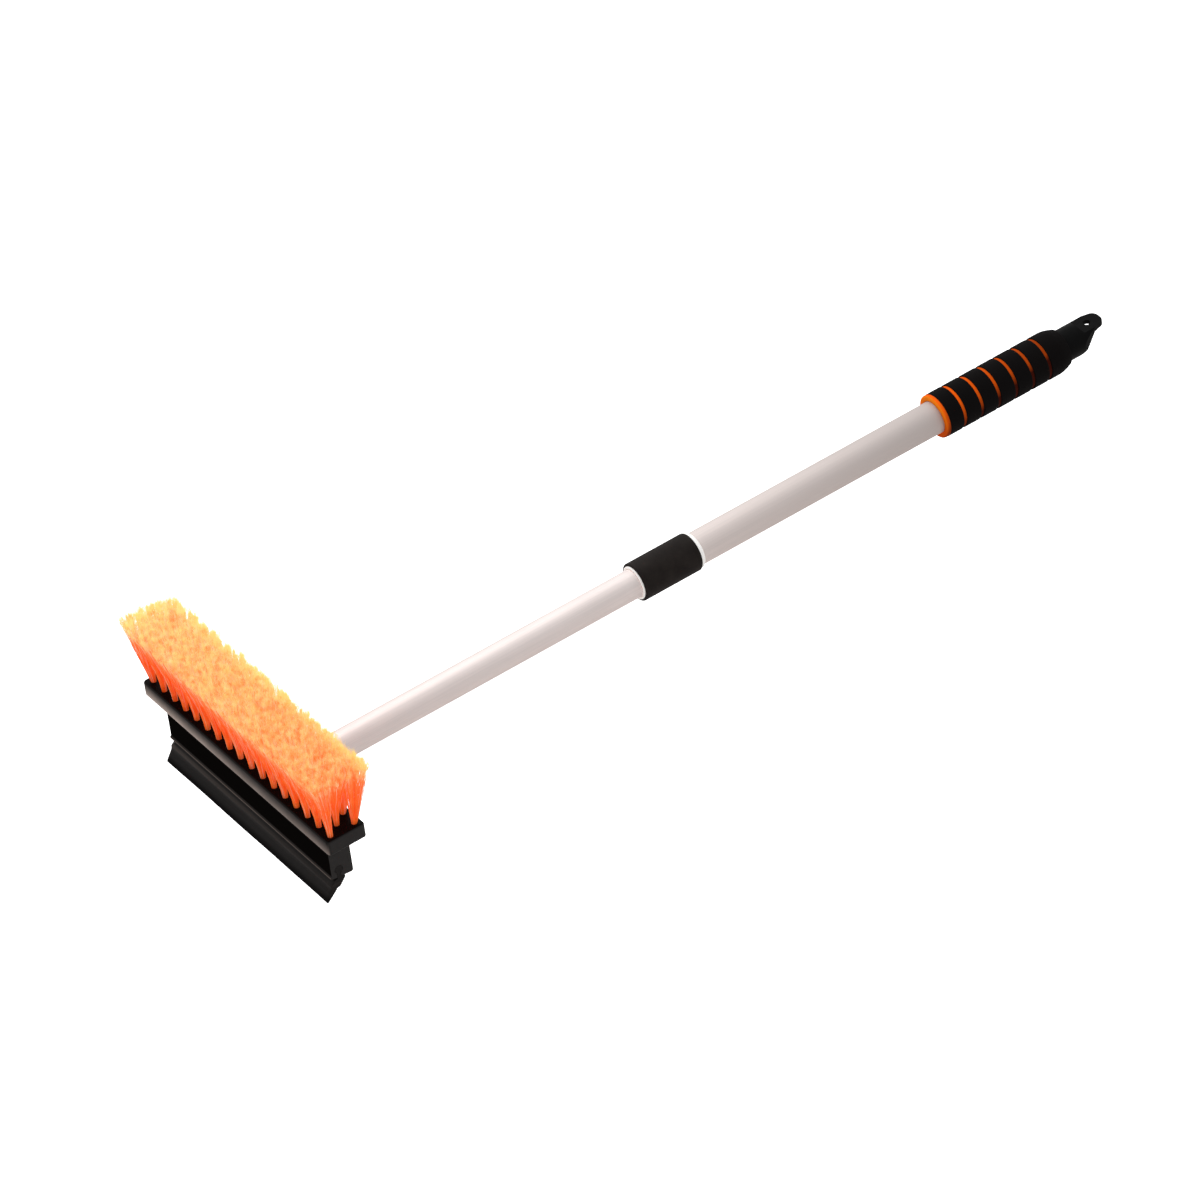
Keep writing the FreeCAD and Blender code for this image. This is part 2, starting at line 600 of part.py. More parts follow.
def tab_plan():
    """Plan of the hang tab: narrows from the neck to a broad end with round corners."""
    corner_x = TAB_HALF_WIDTH - TAB_CORNER_RADIUS
    half = CAP_RADIUS + EXTRA
    low = -CAP_RADIUS - EXTRA
    tall = 2 * (CAP_RADIUS + EXTRA)
    body = plate([(half, CAP_CUT_START - 2 * EXTRA), (half, CAP_NECK_END),
                  (CAP_RADIUS, CAP_NECK_END), (TAB_HALF_WIDTH, TAB_CORNER_START),
                  (-TAB_HALF_WIDTH, TAB_CORNER_START), (-CAP_RADIUS, CAP_NECK_END),
                  (-half, CAP_NECK_END), (-half, CAP_CUT_START - 2 * EXTRA)], low, -low)
    end = [Part.makeCylinder(TAB_CORNER_RADIUS, tall, V(x, TAB_CORNER_START, low))
           for x in (-corner_x, corner_x)]
    end.append(box(-corner_x, corner_x, TAB_CORNER_START - EXTRA, TAB_END, low, -low))
    return body.fuse(end)


def tab_side():
    """Side outline of the hang tab: cut away at 45 degrees below, nearly flush on top."""
    half = CAP_RADIUS + EXTRA
    cut_start = CAP_CUT_START - EXTRA
    cut_end = CAP_CUT_START + CAP_RADIUS + TAB_UNDERSIDE
    outline = [(cut_start, -half), (cut_end, TAB_UNDERSIDE), (TAB_END + EXTRA, TAB_UNDERSIDE),
               (TAB_END + EXTRA, TAB_TOP), (CAP_NECK_END + TAB_RAMP, TAB_TOP), (CAP_NECK_END, half),
               (cut_start, half)]
    return extruded_across(outline, half)


def tab_hollow():
    """Space under the tab between its two side ribs."""
    start = CAP_NECK_END
    end = TAB_CORNER_START
    outline = [(CAP_RADIUS - TAB_RIB, start), (TAB_HALF_WIDTH - TAB_RIB, end),
               (TAB_RIB - TAB_HALF_WIDTH, end), (TAB_RIB - CAP_RADIUS, start)]
    return plate(outline, -CAP_RADIUS - EXTRA, TAB_UNDERSIDE)


def end_cap():
    """Moulded cap: hollow plug in the pole, round neck and a tab with the hang hole."""
    neck_start = OUTER_POLE_END + SLIP
    plug = rod(OUTER_POLE_BORE - SLIP, CAP_PLUG_START, neck_start + EXTRA)
    neck = rod(CAP_RADIUS, neck_start, CAP_CUT_START)
    tongue = rod(CAP_RADIUS, CAP_CUT_START - EXTRA, TAB_END + EXTRA)
    tongue = tongue.common(tab_plan()).common(tab_side())
    cap = joined(neck, [plug, tongue])
    hang_hole = Part.makeCylinder(HANG_HOLE_RADIUS, 4 * CAP_RADIUS,
                                  V(0, HANG_HOLE_STATION, -2 * CAP_RADIUS))
    hollow = rod(CAP_HOLLOW_RADIUS, CAP_PLUG_START - EXTRA, OUTER_POLE_END - CAP_FLOOR_SETBACK)
    return cap.cut([hang_hole, hollow, tab_hollow()]
                   + rivet_holes(CAP_RIVET_STATION, OUTER_POLE_RADIUS, CAP_RIVET_DEPTH))


# ---------------------------------------------------------------- all pieces
FRONT_ROW, MIDDLE_ROW, REAR_ROW = tuft_rows()

PIECES = {
    "head_body": head_body(),
    "front_tufts": tufts(FRONT_ROW),
    "middle_tufts": tufts(MIDDLE_ROW),
    "rear_tufts": tufts(REAR_ROW),
    "tuft_anchors": tuft_anchors(),
    "squeegee_blade": squeegee_blade(),
    "blade_pins": blade_pins(),
    "socket_screws": socket_screws(),
    "pole_nose_plug": pole_nose_plug(),
    "inner_pole": inner_pole(),
    "cam_plug": cam_plug(),
    "cam_plug_rivets": rivets(CAM_RIVET_STATION, INNER_POLE_RADIUS, CAM_RIVET_DEPTH),
    "cam_ring": cam_ring(),
    "cam_washer": cam_washer(),
    "cam_screw": cam_screw(),
    "stop_sleeve": stop_sleeve(),
    "guide_bush": guide_bush(),
    "collar_sleeve": collar_sleeve(),
    "outer_pole": outer_pole(),
    "grip_core": grip_core(),
    "grip_bands": grip_bands(),
    "end_cap": end_cap(),
    "cap_rivets": rivets(CAP_RIVET_STATION, OUTER_POLE_RADIUS, CAP_RIVET_DEPTH),
}

os.makedirs("parts", exist_ok=True)
for name, shape in PIECES.items():
    shape.translate(V(0, -HANG_HOLE_STATION, -HANG_HOLE_Z))
    shape.exportStep("parts/" + name + ".step")
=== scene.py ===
"""Looks of the snow brush: bristles, rubber blade, foam grip and every surface finish.

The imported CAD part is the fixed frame. Hard pieces keep their CAD shape and get a finish
here; the soft pieces (bristles, blade and foam) are built as meshes of their own.
"""

import math

import bpy
import numpy as np
from mathutils import Matrix, Vector, noise


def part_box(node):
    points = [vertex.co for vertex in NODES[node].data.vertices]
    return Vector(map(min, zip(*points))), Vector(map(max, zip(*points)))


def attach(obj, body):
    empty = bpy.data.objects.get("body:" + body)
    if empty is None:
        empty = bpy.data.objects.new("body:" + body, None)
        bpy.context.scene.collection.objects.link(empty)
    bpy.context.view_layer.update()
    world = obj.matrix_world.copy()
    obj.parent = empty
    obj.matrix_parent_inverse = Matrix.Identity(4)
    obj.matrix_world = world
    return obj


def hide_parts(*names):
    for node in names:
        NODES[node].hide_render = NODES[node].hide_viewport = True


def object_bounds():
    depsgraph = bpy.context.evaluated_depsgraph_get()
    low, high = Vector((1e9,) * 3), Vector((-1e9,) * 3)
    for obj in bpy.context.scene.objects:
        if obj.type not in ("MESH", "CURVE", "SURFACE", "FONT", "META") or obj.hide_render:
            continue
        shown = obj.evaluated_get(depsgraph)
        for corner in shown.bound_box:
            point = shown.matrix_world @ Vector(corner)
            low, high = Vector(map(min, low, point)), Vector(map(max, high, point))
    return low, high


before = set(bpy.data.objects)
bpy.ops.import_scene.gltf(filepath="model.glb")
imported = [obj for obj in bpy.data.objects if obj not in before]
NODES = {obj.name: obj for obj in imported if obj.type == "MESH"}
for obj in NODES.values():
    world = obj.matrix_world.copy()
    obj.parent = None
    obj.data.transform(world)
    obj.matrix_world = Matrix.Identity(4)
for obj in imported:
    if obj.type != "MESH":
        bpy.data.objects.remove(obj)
CAD_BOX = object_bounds()

MM = 0.001
HEAD = "pole_and_head"
HANDLE = "handle"

# ---------------------------------------------------------------- camera and floor
CAMERA_AZIMUTH = 59.2             # degrees round from the front of the head
CAMERA_ELEVATION = 40.2
CAMERA_ROLL = -7.9
CAMERA_DISTANCE = 6.5             # metres
CAMERA_LENS = 275.3               # millimetres, on a sensor 36 mm wide
CAMERA_AIM = Vector((-0.0063, -0.4355, -0.0120))
FLOOR_BELOW = 0.085               # metres under the blade's lip: room for a turned head

# ---------------------------------------------------------------- light
WINDOW_SIDE = (-0.72, 0.39, 0.57)
ROOM_DIM = 0.66
ROOM_BRIGHT = 0.97
SOFTBOX_PLACE = (-0.62, -0.40, 0.95)
SOFTBOX_AIM = (0.0, -0.62, 0.0)
SOFTBOX_SIZE = 0.7
SOFTBOX_POWER = 4.0
ROOM_TURN = (-0.1, 0.95)          # cosines to the window side between which the room brightens
FLOOR_GLOW = 0.75
FLOOR_REACH = 30.0                # metres

# ---------------------------------------------------------------- bristles
FIBRES_PER_TUFT = 235
FIBRE_POINTS = 8
FIBRE_SIDES = 3
FIBRE_RADIUS = 0.15 * MM
FOOT_RADIUS = 1.85 * MM
ROOT_DEPTH = 1.2 * MM             # fibres start this far below the flange's top
TIPS_PER_FIBRE = 9
TIP_LENGTH = 7.0 * MM
TIP_SPREAD = 2.6 * MM
TIP_SCATTER = 0.5 * MM
TIP_SETBACK = 2.0 * MM            # fibres end this far below the CAD tufts' top, for the needles
TIP_UNEVEN = 1.5 * MM
NEEDLE_SHARE = 0.8                # of a fibre's thickness
NEEDLE_SINK = 0.3 * MM
CRIMP = 0.5 * MM
CRIMP_WAVES = 2.3
CLUMP = 4.6 * MM
CLUMP_PULL = 0.30                 # how far tips move towards the middle of their clump
CLUMP_STRAY = 0.3                 # share of a clump's size that its middle is off the grid
HEIGHT_SPREAD = 3.6 * MM
RIM_DROP = 1.2 * MM               # the top rounds down by this much along its rim
RIM_ZONE_X = 6.0 * MM
RIM_ZONE_Y = 5.0 * MM
PALE_SHARE = 0.13                 # of the fibres are bleached along their whole length
RAGGED = 1.4 * MM                 # how unevenly the clumps stand out along the rim
CORNER_ZONE = 16.0 * MM           # the worn left front corner: its tips stand higher and further out
CORNER_RISE = 5.0 * MM
CORNER_REACH = 1.2 * MM
OVERLAP = 1.22                    # how far neighbouring tufts reach into each other
FLARE = 1.6                       # above 1 the tufts stay slim low down and widen late
END_FLARE = 1.0                   # the tufts at the left end and the rear right corner
END_REACH = (1.8 * MM, 0.6 * MM)  # tips beyond the CAD tufts at the left and right ends

# ---------------------------------------------------------------- plastic, foam and rubber
FLANGE_THICKNESS = 12.2 * MM
BLADE_HANG = 18.4 * MM            # from the blade's lip up to the front foot of the head's wall
ROUND_STEPS = 160                 # steps round a foam piece
BAND_COUNT = 7
BAND_EDGE = 0.7 * MM
BAND_THICKNESS = 1.0 * MM
REAR_LENGTH = 11.0 * MM           # the grip's rear rounds down over this length
BAND_REAR_DROP = 2.5 * MM
CORE_REAR_DROP = 2.5 * MM
FACE_LENGTH = 3.0 * MM            # orange foam in front of the first band
BORE_GAP = 0.02 * MM
BORE_BEVEL = 0.4 * MM
RIM_INSET = 0.15 * MM             # the orange front rim is this much smaller than the bands
RIM_ROUND = 1.3 * MM
RIM_TUCK = 0.05 * MM
BAND_REAR_STEPS = 14
CORE_REAR_STEPS = 10
FOAM_RIPPLE = 0.05 * MM
RIPPLE_SCALE = 260.0              # ripples per metre
BLADE_STATIONS = 81
BLADE_FREE = 8.0 * MM             # the lip sways over this height
BLADE_SWAY = 0.22 * MM
BLADE_WAVE = 0.10 * MM
BLADE_EDGE = 0.25 * MM
HEAD_EDGE = 0.35 * MM
CAP_EDGE = 0.4 * MM


def srgb(red, green, blue):
    """Linear colour from 0-255 display values."""
    def linear(value):
        value /= 255.0
        return value / 12.92 if value <= 0.04045 else ((value + 0.055) / 1.055) ** 2.4
    return (linear(red), linear(green), linear(blue), 1.0)


# ---------------------------------------------------------------- node helpers
class Finish:
    """A material with one Principled shader and short calls that add nodes to it."""

    def __init__(self, name, colour, roughness, metallic=0.0, specular=0.5):
        self.material = bpy.data.materials.new(name)
        self.material.use_nodes = True
        self.tree = self.material.node_tree
        self.shader = self.tree.nodes["Principled BSDF"]
        self.set("Base Color", colour)
        self.set("Roughness", roughness)
        self.set("Metallic", metallic)
        self.set("Specular IOR Level", specular)
        self.place = self.node("ShaderNodeTexCoord").outputs["Object"]

    def node(self, kind, **settings):
        made = self.tree.nodes.new(kind)
        for key, value in settings.items():
            setattr(made, key, value)
        return made

    def link(self, source, target):
        self.tree.links.new(source, target)

    def set(self, socket, value):
        self.shader.inputs[socket].default_value = value

    def drive(self, socket, source):
        self.link(source, self.shader.inputs[socket])

    def stretched(self, scale):
        mapping = self.node("ShaderNodeMapping")
        mapping.inputs["Scale"].default_value = scale
        self.link(self.place, mapping.inputs["Vector"])
        return mapping.outputs["Vector"]

    def noise(self, scale, detail=3.0, roughness=0.55, stretch=(1, 1, 1)):
        made = self.node("ShaderNodeTexNoise")
        made.inputs["Scale"].default_value = scale
        made.inputs["Detail"].default_value = detail
        made.inputs["Roughness"].default_value = roughness
        self.link(self.stretched(stretch), made.inputs["Vector"])
        return made.outputs["Fac"]

    def cells(self, scale):
        made = self.node("ShaderNodeTexVoronoi")
        made.inputs["Scale"].default_value = scale
        self.link(self.place, made.inputs["Vector"])
        return made.outputs["Distance"]

    def remap(self, source, low, high, to_low, to_high):
        made = self.node("ShaderNodeMapRange")
        self.link(source, made.inputs["Value"])
        for socket, value in zip(("From Min", "From Max", "To Min", "To Max"),
                                 (low, high, to_low, to_high)):
            made.inputs[socket].default_value = value
        return made.outputs["Result"]

    def ramp(self, source, stops):
        made = self.node("ShaderNodeValToRGB")
        elements = made.color_ramp.elements
        while len(elements) < len(stops):
            elements.new(0.5)
        for element, (position, colour) in zip(elements, stops):
            element.position = position
            element.color = colour
        self.link(source, made.inputs["Fac"])
        return made.outputs["Color"]

    def math(self, operation, first, second):
        made = self.node("ShaderNodeMath", operation=operation)
        for socket, value in zip(made.inputs, (first, second)):
            if isinstance(value, (int, float)):
                socket.default_value = value
            else:
                self.link(value, socket)
        return made.outputs["Value"]

    def blend(self, factor, first, second, mode="MIX"):
        made = self.node("ShaderNodeMix", data_type="RGBA", blend_type=mode)
        for socket, value in ((0, factor), (6, first), (7, second)):
            if isinstance(value, (int, float, tuple)):
                made.inputs[socket].default_value = value
            else:
                self.link(value, made.inputs[socket])
        return made.outputs[2]

    def height(self, axis):
        split = self.node("ShaderNodeSeparateXYZ")
        self.link(self.place, split.inputs["Vector"])
        return split.outputs[axis]

    def facing(self, direction, low, high):
        """1 where the surface faces the direction and 0 where it turns away."""
        product = self.node("ShaderNodeVectorMath", operation="DOT_PRODUCT")
        product.inputs[1].default_value = direction
        self.link(self.node("ShaderNodeTexCoord").outputs["Normal"], product.inputs[0])
        return self.remap(product.outputs["Value"], low, high, 0.0, 1.0)

    def bump(self, source, distance, strength=1.0):
        made = self.node("ShaderNodeBump")
        made.inputs["Distance"].default_value = distance
        made.inputs["Strength"].default_value = strength
        self.link(source, made.inputs["Height"])
        if self.shader.inputs["Normal"].is_linked:
            previous = self.shader.inputs["Normal"].links[0].from_socket
            self.link(previous, made.inputs["Normal"])
        self.drive("Normal", made.outputs["Normal"])


# ---------------------------------------------------------------- materials
def moulded_plastic(name, colour, roughness, specular):
    """Spark-eroded mould grain with slight shade and gloss variation."""
    finish = Finish(name, colour, roughness, specular=specular)
    cloud = finish.noise(35.0)
    lighter = tuple(min(1.0, 1.35 * c + 0.001) for c in colour[:3]) + (1.0,)
    finish.drive("Base Color", finish.blend(finish.remap(cloud, 0.3, 0.75, 0.0, 1.0),
                                            colour, lighter))
    finish.drive("Roughness", finish.remap(finish.noise(160.0), 0.3, 0.7,
                                           roughness - 0.05, roughness + 0.08))
    finish.bump(finish.noise(2600.0, detail=2.0), 0.00004, 0.5)
    return finish.material


def head_plastic(name, flange_low, flange_high, foot, half_length):
    """Satin moulding: its front edge carries a painted reflection, the wall under it painted shadow,
    the wall's foot a painted highlight and upward faces painted shade.
    """
    # The second colour is painted shadow for the wall under the flange; the third is a painted
    # reflection and highlight.
    side, wall, painted_reflection = srgb(22, 19, 18), srgb(12, 10, 9), srgb(198, 180, 171)
    finish = Finish(name, side, 0.5)
    rise = finish.height("Z")
    front = finish.facing((0.0, -1.0, 0.0), 0.5, 0.9)
    above = finish.remap(rise, flange_low - 0.5 * MM, flange_low, 0.0, 1.0)
    depth = finish.remap(rise, flange_low, flange_high - 1.0 * MM, 1.0, 0.03)
    depth = finish.math("POWER", depth, 1.4)
    top = finish.facing((0.0, 0.0, 1.0), 0.5, 0.9)
    along = finish.remap(finish.height("X"), -0.75 * half_length, 0.1 * half_length, 1.0, 0.5)
    cloud = finish.remap(finish.noise(60.0), 0.3, 0.7, 0.85, 1.15)
    # worn is how much painted reflection the flange's front takes: most low down and to the left,
    # with a little random change; edge is that painted colour.
    worn = finish.math("MULTIPLY", finish.math("MULTIPLY", depth, along), cloud)
    edge = finish.blend(worn, side, painted_reflection)
    # A painted highlight along the bead at the wall's foot, over the wall's painted shadow.
    bead_highlight = finish.remap(rise, foot + 1.0 * MM, foot + 3.0 * MM, 1.0, 0.0)
    shaded_wall = finish.blend(finish.math("MULTIPLY", bead_highlight, 0.25), wall, painted_reflection)
    front_tone = finish.blend(above, shaded_wall, edge)
    # Faces that look up get painted shade.
    rest_tone = finish.blend(top, side, srgb(9, 7, 7))
    finish.drive("Base Color", finish.blend(front, rest_tone, front_tone))
    shine = finish.blend(above, (0.0, 0.0, 0.0, 1.0), (0.05, 0.05, 0.05, 1.0))
    rest_shine = finish.blend(top, (0.22, 0.22, 0.22, 1.0), (0.03, 0.03, 0.03, 1.0))
    shine = finish.blend(front, rest_shine, shine)
    finish.drive("Specular IOR Level", shine)
    finish.drive("Roughness", finish.remap(finish.noise(160.0), 0.3, 0.7, 0.42, 0.55))
    finish.bump(finish.noise(2600.0, detail=2.0), 0.00004, 0.5)
    return finish.material


def satin_aluminium(name, tint, roughness, metallic=0.9, painted_shade_span=None):
    """Drawn and anodised tube: fine lines along its length and a soft sheen.

    fade gives the Y where painted shade starts to darken the tube, where it stops and by how much.
    """
    finish = Finish(name, tint, roughness, metallic=metallic, specular=0.3)
    lines = finish.noise(900.0, detail=4.0, stretch=(1.0, 0.012, 1.0))
    shade = finish.remap(lines, 0.3, 0.7, 0.0, 1.0)
    darker = tuple(0.90 * c for c in tint[:3]) + (1.0,)
    colour = finish.blend(shade, darker, tint)
    # Painted shade: the tube darkens along Y, towards the grip.
    if painted_shade_span is not None:
        start, end, share = painted_shade_span
        along = finish.remap(finish.height("Y"), start, end, 0.0, 1.0)
        shaded_tint = tuple(share * c for c in tint[:3]) + (1.0,)
        colour = finish.blend(along, colour, shaded_tint)
    cloud = finish.remap(finish.noise(30.0, detail=5.0), 0.3, 0.7, 0.0, 0.06)
    finish.drive("Base Color", finish.blend(cloud, colour, srgb(190, 170, 164)))
    finish.drive("Roughness", finish.remap(lines, 0.3, 0.7, roughness - 0.05, roughness + 0.07))
    finish.bump(lines, 0.00002, 0.35)
    return finish.material


def plated_steel(name):
    finish = Finish(name, srgb(190, 188, 182), 0.3, metallic=1.0)
    finish.drive("Roughness", finish.remap(finish.noise(700.0), 0.3, 0.7, 0.22, 0.42))
    finish.bump(finish.noise(2500.0), 0.00002, 0.3)
    return finish.material


def white_nylon(name, colour, glow=0.0):
    """Nylon that lets light through a little; glow stands for light from behind."""
    finish = Finish(name, colour, 0.42)
    finish.set("Emission Color", colour)
    finish.set("Emission Strength", glow)
    finish.set("Subsurface Weight", 0.25)
    finish.set("Subsurface Radius", (0.002, 0.002, 0.0018))
    finish.drive("Roughness", finish.remap(finish.noise(220.0), 0.3, 0.7, 0.36, 0.5))
    finish.bump(finish.noise(1800.0), 0.00002, 0.3)
    return finish.material


def blade_rubber(name, bottom):
    """Dull black-brown rubber with faint extrusion lines; a painted highlight along the ledge and
    painted shade on the lip.
    """
    colour = srgb(18, 15, 14)
    finish = Finish(name, colour, 0.5, specular=0.12)
    streaks = finish.noise(1500.0, stretch=(0.01, 1.0, 1.0))
    dusty = finish.remap(finish.noise(60.0), 0.45, 0.8, 0.0, 0.5)
    tone = finish.blend(dusty, colour, srgb(30, 26, 24))
    rise = finish.height("Z")
    # Painted shade: the lip is darker and less glossy.
    lip = finish.remap(rise, bottom + 2.5 * MM, bottom + 6.0 * MM, 1.0, 0.0)
    tone = finish.blend(lip, tone, srgb(4, 3, 3))
    # A painted highlight along the ledge, stronger to the left.
    ledge_low = finish.remap(rise, bottom + 10.8 * MM, bottom + 12.2 * MM, 0.0, 1.0)
    ledge_high = finish.remap(rise, bottom + 13.2 * MM, bottom + 14.2 * MM, 1.0, 0.0)
    along = finish.remap(finish.height("X"), -0.1, 0.08, 0.75, 0.12)
    ledge_highlight = finish.math("MULTIPLY", finish.math("MULTIPLY", ledge_low, ledge_high), along)
    finish.drive("Base Color", finish.blend(ledge_highlight, tone, srgb(74, 66, 62)))
    finish.drive("Specular IOR Level", finish.remap(lip, 0.0, 1.0, 0.12, 0.03))
    finish.drive("Roughness", finish.remap(streaks, 0.3, 0.7, 0.42, 0.6))
    finish.bump(streaks, 0.00003, 0.5)
    return finish.material


def sleeve_rubber(name):
    """Soft-touch sleeve: matt, with a fine speckled skin."""
    colour = srgb(27, 22, 20)
    finish = Finish(name, colour, 0.7, specular=0.12)
    cloud = finish.remap(finish.noise(90.0), 0.35, 0.75, 0.0, 1.0)
    finish.drive("Base Color", finish.blend(cloud, colour, srgb(37, 32, 29)))
    finish.bump(finish.noise(1700.0, detail=4.0), 0.00008, 0.6)
    return finish.material


def foam(name, colour, deeper, painted_shade_span=None, face=None):
    """Closed-cell foam: skinned pores of two sizes.

    fade gives the Y where painted shade starts to dim the foam, more on faces that turn down, where
    it stops, and the shaded colour.
    face gives the Z where painted light starts to brighten the front face, where it stops, and how
    bright.
    """
    finish = Finish(name, colour, 0.88, specular=0.08)
    fine = finish.cells(2300.0)
    coarse = finish.cells(850.0)
    pits = finish.remap(fine, 0.05, 0.45, 1.0, 0.0)
    mottle = finish.remap(finish.noise(420.0), 0.35, 0.7, 0.0, 1.0)
    shade = finish.math("MULTIPLY", pits, mottle)
    tone = finish.blend(finish.math("MULTIPLY", shade, 0.8), colour, deeper)
    # Painted shade: the foam dims towards the rear, more on faces that turn down.
    if painted_shade_span is not None:
        start, end, dim = painted_shade_span
        along = finish.remap(finish.height("Y"), start, end, 0.0, 1.0)
        under = finish.facing((0.0, -0.35, 1.0), 0.75, -0.25)
        gain = finish.math("ADD", finish.math("MULTIPLY", under, 0.8), 0.8)
        shade_share = finish.math("ADD", finish.math("MULTIPLY", along, gain),
                             finish.math("MULTIPLY", under, 0.8))
        tone = finish.blend(finish.math("MINIMUM", shade_share, 1.0), tone, dim)
    # Painted light: the front face brightens towards its top.
    if face is not None:
        start, end, bright = face
        ahead = finish.facing((0.0, -1.0, 0.0), 0.3, 0.9)
        lit = finish.math("MULTIPLY", ahead, finish.remap(finish.height("Z"), start, end, 0.0, 1.0))
        tone = finish.blend(lit, tone, bright)
    finish.drive("Base Color", tone)
    finish.bump(finish.math("MULTIPLY", coarse, 0.35), 0.00025, 0.55)
    finish.bump(fine, 0.00012, 0.5)
    return finish.material


def bristle_fibre(name, root_z, tip_z, half_length, rear_y):
    """Orange filament, red at the root, peach where it frays and pale at the tips.

    The tips along the rear rim and at the left end are bleached yellow. The tone kept on
    each fibre is 0 to 1 for a more orange one and -1 for a bleached one.
    """
    finish = Finish(name, srgb(255, 110, 45), 0.5, specular=0.25)
    rise = finish.remap(finish.height("Z"), root_z, tip_z, 0.0, 1.0)
    shift = finish.remap(finish.noise(240.0), 0.3, 0.7, -0.09, 0.07)
    level = finish.math("ADD", rise, shift)
    tone = finish.ramp(level, [(0.0, srgb(250, 92, 26)), (0.45, srgb(255, 112, 40)),
                               (0.68, srgb(255, 142, 84)), (0.82, srgb(255, 196, 142)),
                               (0.93, srgb(255, 216, 140)), (1.0, srgb(255, 234, 160))])
    own = finish.node("ShaderNodeAttribute", attribute_name="tone").outputs["Fac"]
    patch = finish.remap(finish.noise(170.0, detail=2.0), 0.46, 0.70, 0.0, 0.6)
    warmer = finish.remap(finish.height("X"), -half_length, half_length, 0.0, 0.3)
    orange = finish.math("ADD", finish.math("MULTIPLY", own, 0.3), finish.math("ADD", patch, warmer))
    tone = finish.blend(orange, tone, srgb(255, 128, 48))
    pale = finish.remap(own, 0.0, -1.0, 0.0, 0.55)
    tone = finish.blend(pale, tone, srgb(255, 206, 178))
    rear = finish.remap(finish.height("Y"), rear_y - 10 * MM, rear_y, 0.0, 0.7)
    end = finish.remap(finish.height("X"), 10 * MM - half_length, -half_length, 0.0, 0.4)
    yellow = finish.math("MULTIPLY", finish.math("MAXIMUM", rear, end),
                         finish.remap(rise, 0.6, 0.95, 0.0, 1.0))
    tone = finish.blend(yellow, tone, srgb(255, 234, 148))
    finish.drive("Base Color", tone)
    # The glow in the fibres' own colour is painted light that lifts their shade, stronger towards
    # the tips.
    finish.drive("Emission Color", tone)
    finish.drive("Emission Strength", finish.remap(rise, 0.3, 1.0, 0.24, 0.42))
    return finish.material


# ---------------------------------------------------------------- mesh helpers
def add_piece(name, mesh, material, body, nodes=()):
    """Links a mesh as a piece that rides on a body and may stand for CAD nodes."""
    mesh.materials.append(material)
    piece = bpy.data.objects.new(name, mesh)
    bpy.context.scene.collection.objects.link(piece)
    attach(piece, body)
    if nodes:
        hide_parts(*nodes)
    return piece


def mesh_from_arrays(name, verts, quads, tris):
    """A mesh from numpy arrays of vertices, four-sided and three-sided faces."""
    mesh = bpy.data.meshes.new(name)
    mesh.vertices.add(len(verts))
    mesh.vertices.foreach_set("co", np.asarray(verts, np.float32).ravel())
    loops = np.concatenate([quads.ravel(), tris.ravel()]).astype(np.int32)
    starts = np.concatenate([np.arange(len(quads)) * 4, len(quads) * 4 + np.arange(len(tris)) * 3])
    mesh.loops.add(len(loops))
    mesh.loops.foreach_set("vertex_index", loops)
    mesh.polygons.add(len(starts))
    mesh.polygons.foreach_set("loop_start", starts.astype(np.int32))
    mesh.polygons.foreach_set("use_smooth", np.ones(len(starts), bool))
    mesh.update(calc_edges=True)
    return mesh


def lathe(name, profile, centre_z, seed):
    """A foam ring with a closed section of (radius, y) points, spun round the pole's axis.

    Its surface moves in and out by a few hundredths of a millimetre, as foam's does.
    """
    verts = []
    count = len(profile)
    for step in range(ROUND_STEPS):
        angle = 2 * math.pi * step / ROUND_STEPS
        for radius, y in profile:
            x, z = math.cos(angle), math.sin(angle)
            spot = Vector((x * radius, y, z * radius)) * RIPPLE_SCALE + Vector((seed, 0, 0))
            radius += FOAM_RIPPLE * noise.noise(spot)
            verts.append((x * radius, y, centre_z + z * radius))
    quads = []
    for step in range(ROUND_STEPS):
        here, after = step * count, (step + 1) % ROUND_STEPS * count
        for i in range(count):
            j = (i + 1) % count
            quads.append((here + i, after + i, after + j, here + j))
    return mesh_from_arrays(name, np.array(verts), np.array(quads), np.zeros((0, 3), int))


def arc(centre, radius, start, end, steps=6):
    """Points of a round corner; angles in degrees, 0 towards larger first value."""
    points = []
    for i in range(steps + 1):
        angle = math.radians(start + (end - start) * i / steps)
        points.append((centre[0] + radius * math.cos(angle), centre[1] + radius * math.sin(angle)))
    return points


def finish_nodes(material, *names):
    """Puts a material on CAD nodes whose shape stays as it is."""
    for name in names:
        node = NODES[name]
        node.data.materials.clear()
        node.data.materials.append(material)


def soften_edges(width, *names):
    """Rounds the sharp edges of CAD nodes a little, as moulding does."""
    for name in names:
        bevel = NODES[name].modifiers.new("soft_edges", "BEVEL")
        bevel.width = width
        bevel.segments = 2
        bevel.limit_method = "ANGLE"
        bevel.angle_limit = math.radians(40)
        bevel.harden_normals = True


# ---------------------------------------------------------------- bristles
def islands_by_place(node, reach):
    """Centres (x, y) of a node's separate small solids, by grouping nearby vertices."""
    centres = []
    for vertex in NODES[node].data.vertices:
        x, y = vertex.co.x, vertex.co.y
        for group in centres:
            if abs(group[0] - x) < reach[0] and abs(group[1] - y) < reach[1]:
                group[2].append((x, y))
                break
        else:
            centres.append((x, y, [(x, y)]))
    middle = [np.array(group[2]) for group in centres]
    return [tuple((points.min(0) + points.max(0)) / 2) for points in middle]


def tuft_feet():
    """Tuft centres by row, front to rear, from the metal anchors under the tufts."""
    centres = islands_by_place("tuft_anchors", (8.0 * MM, 2.0 * MM))
    levels = sorted({round(y, 3) for _, y in centres})
    rows = [[] for _ in levels]
    for x, y in sorted(centres):
        rows[levels.index(round(y, 3))].append((x, y))
    return rows


